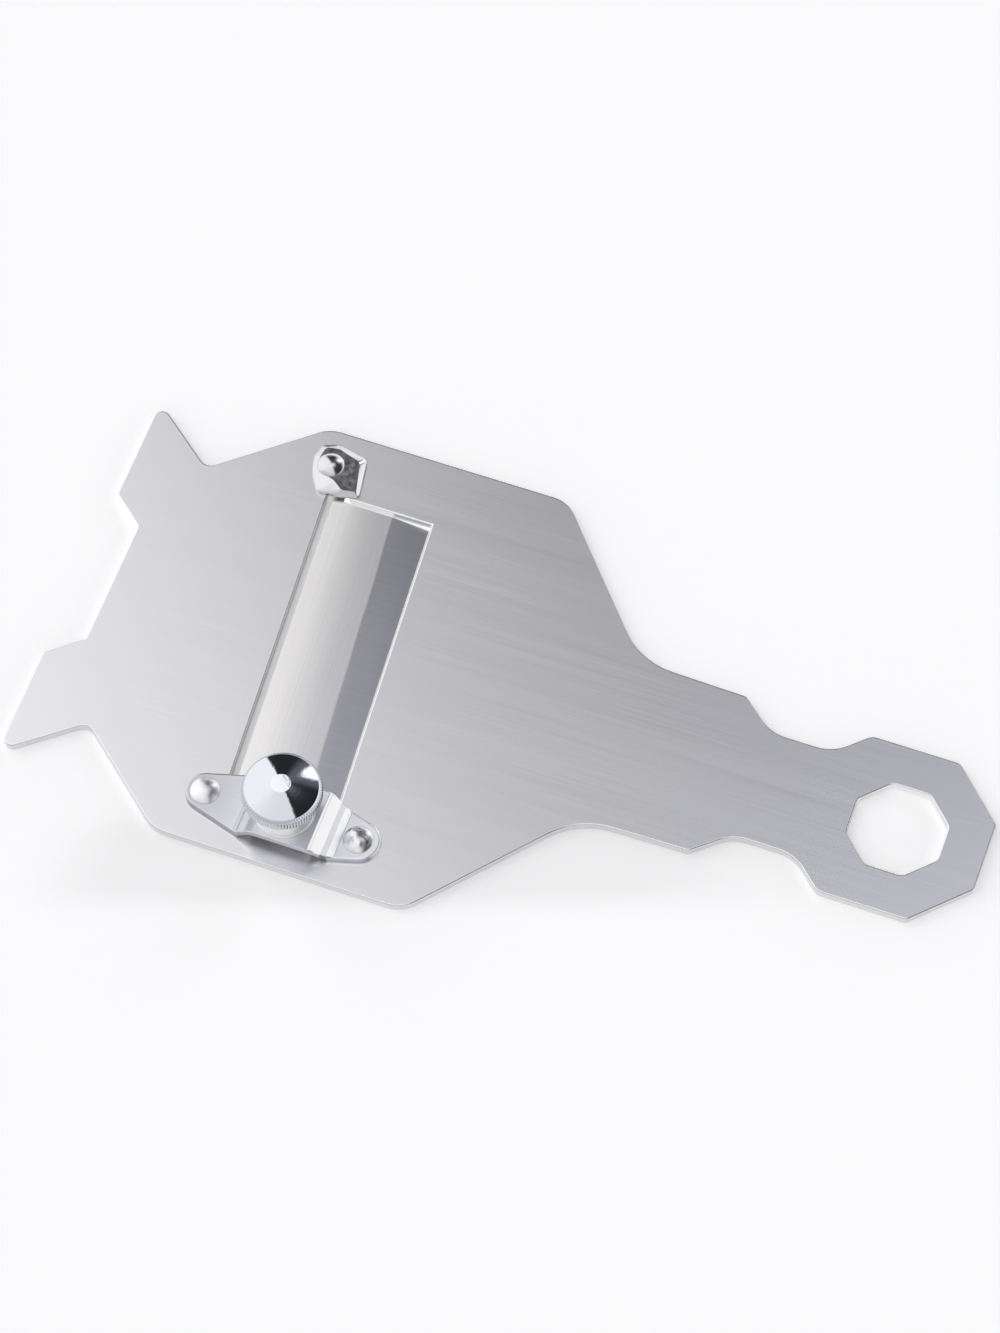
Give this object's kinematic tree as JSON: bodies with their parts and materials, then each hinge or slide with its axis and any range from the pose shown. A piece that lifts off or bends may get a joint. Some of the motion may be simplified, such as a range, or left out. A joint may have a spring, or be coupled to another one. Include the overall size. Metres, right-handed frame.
{
  "type": "truffle slicer",
  "caption": "Flat steel truffle slicer: a shield-shaped plate with a tilting blade in a window, a screw knob that sets the slice, and an eight-sided hanging ring.",
  "frame": {"origin": "centre of the overall length and width, on the flat working face, which the part lies on", "axes": "+X along the length towards the hanging ring, +Y across the plate away from the adjusting knob, +Z out of the knob side"},
  "size_m": [0.185, 0.094, 0.0173],
  "materials": {
    "plate_steel": "stainless sheet, finely brushed along the length",
    "blade_steel": "hardened stainless steel, satin flat, finely ground darker bevel",
    "clip_steel": "polished stainless steel",
    "rivet_steel": "polished stainless steel",
    "bridge_steel": "stainless strip, semi-polished",
    "washer_steel": "polished steel",
    "knob_chrome": "turned, fine knurl on the rim, bright plated",
    "stud_steel": "bright drawn steel",
    "spring_steel": "drawn spring wire"
  },
  "bodies": {
    "frame": {"plate": "plate_steel", "clip": "clip_steel", "clip_rivet": "rivet_steel", "bridge": "bridge_steel", "front_bridge_rivet": "rivet_steel", "rear_bridge_rivet": "rivet_steel", "washer": "washer_steel"},
    "knob": {"knob": "knob_chrome"},
    "stud": {"stud": "stud_steel", "spring": "spring_steel"},
    "blade": {"blade": "blade_steel"}
  },
  "joints": [
    {"name": "knob_turn", "type": "hinge", "parent": "frame", "child": "knob", "pos_m": [-0.03474, -0.0367, 0.00635], "axis": [0, 0, 1], "range_deg": [0, 720]},
    {"name": "stud_slide", "type": "slide", "parent": "frame", "child": "stud", "axis": [0, 0, -1], "range_m": [0, 0.00142], "deforming": ["spring"]},
    {"name": "blade_tilt", "type": "hinge", "parent": "frame", "child": "blade", "pos_m": [-0.0482, 0, 0.0013], "axis": [-0.0767, 0.9971, 0], "range_deg": [0, 7.6]}
  ],
  "couplings": [
    {"joint": "stud_slide", "follows": "knob_turn", "m_per_rad": 0.00011141},
    {"joint": "blade_tilt", "follows": "knob_turn", "ratio": 0.0104}
  ]
}
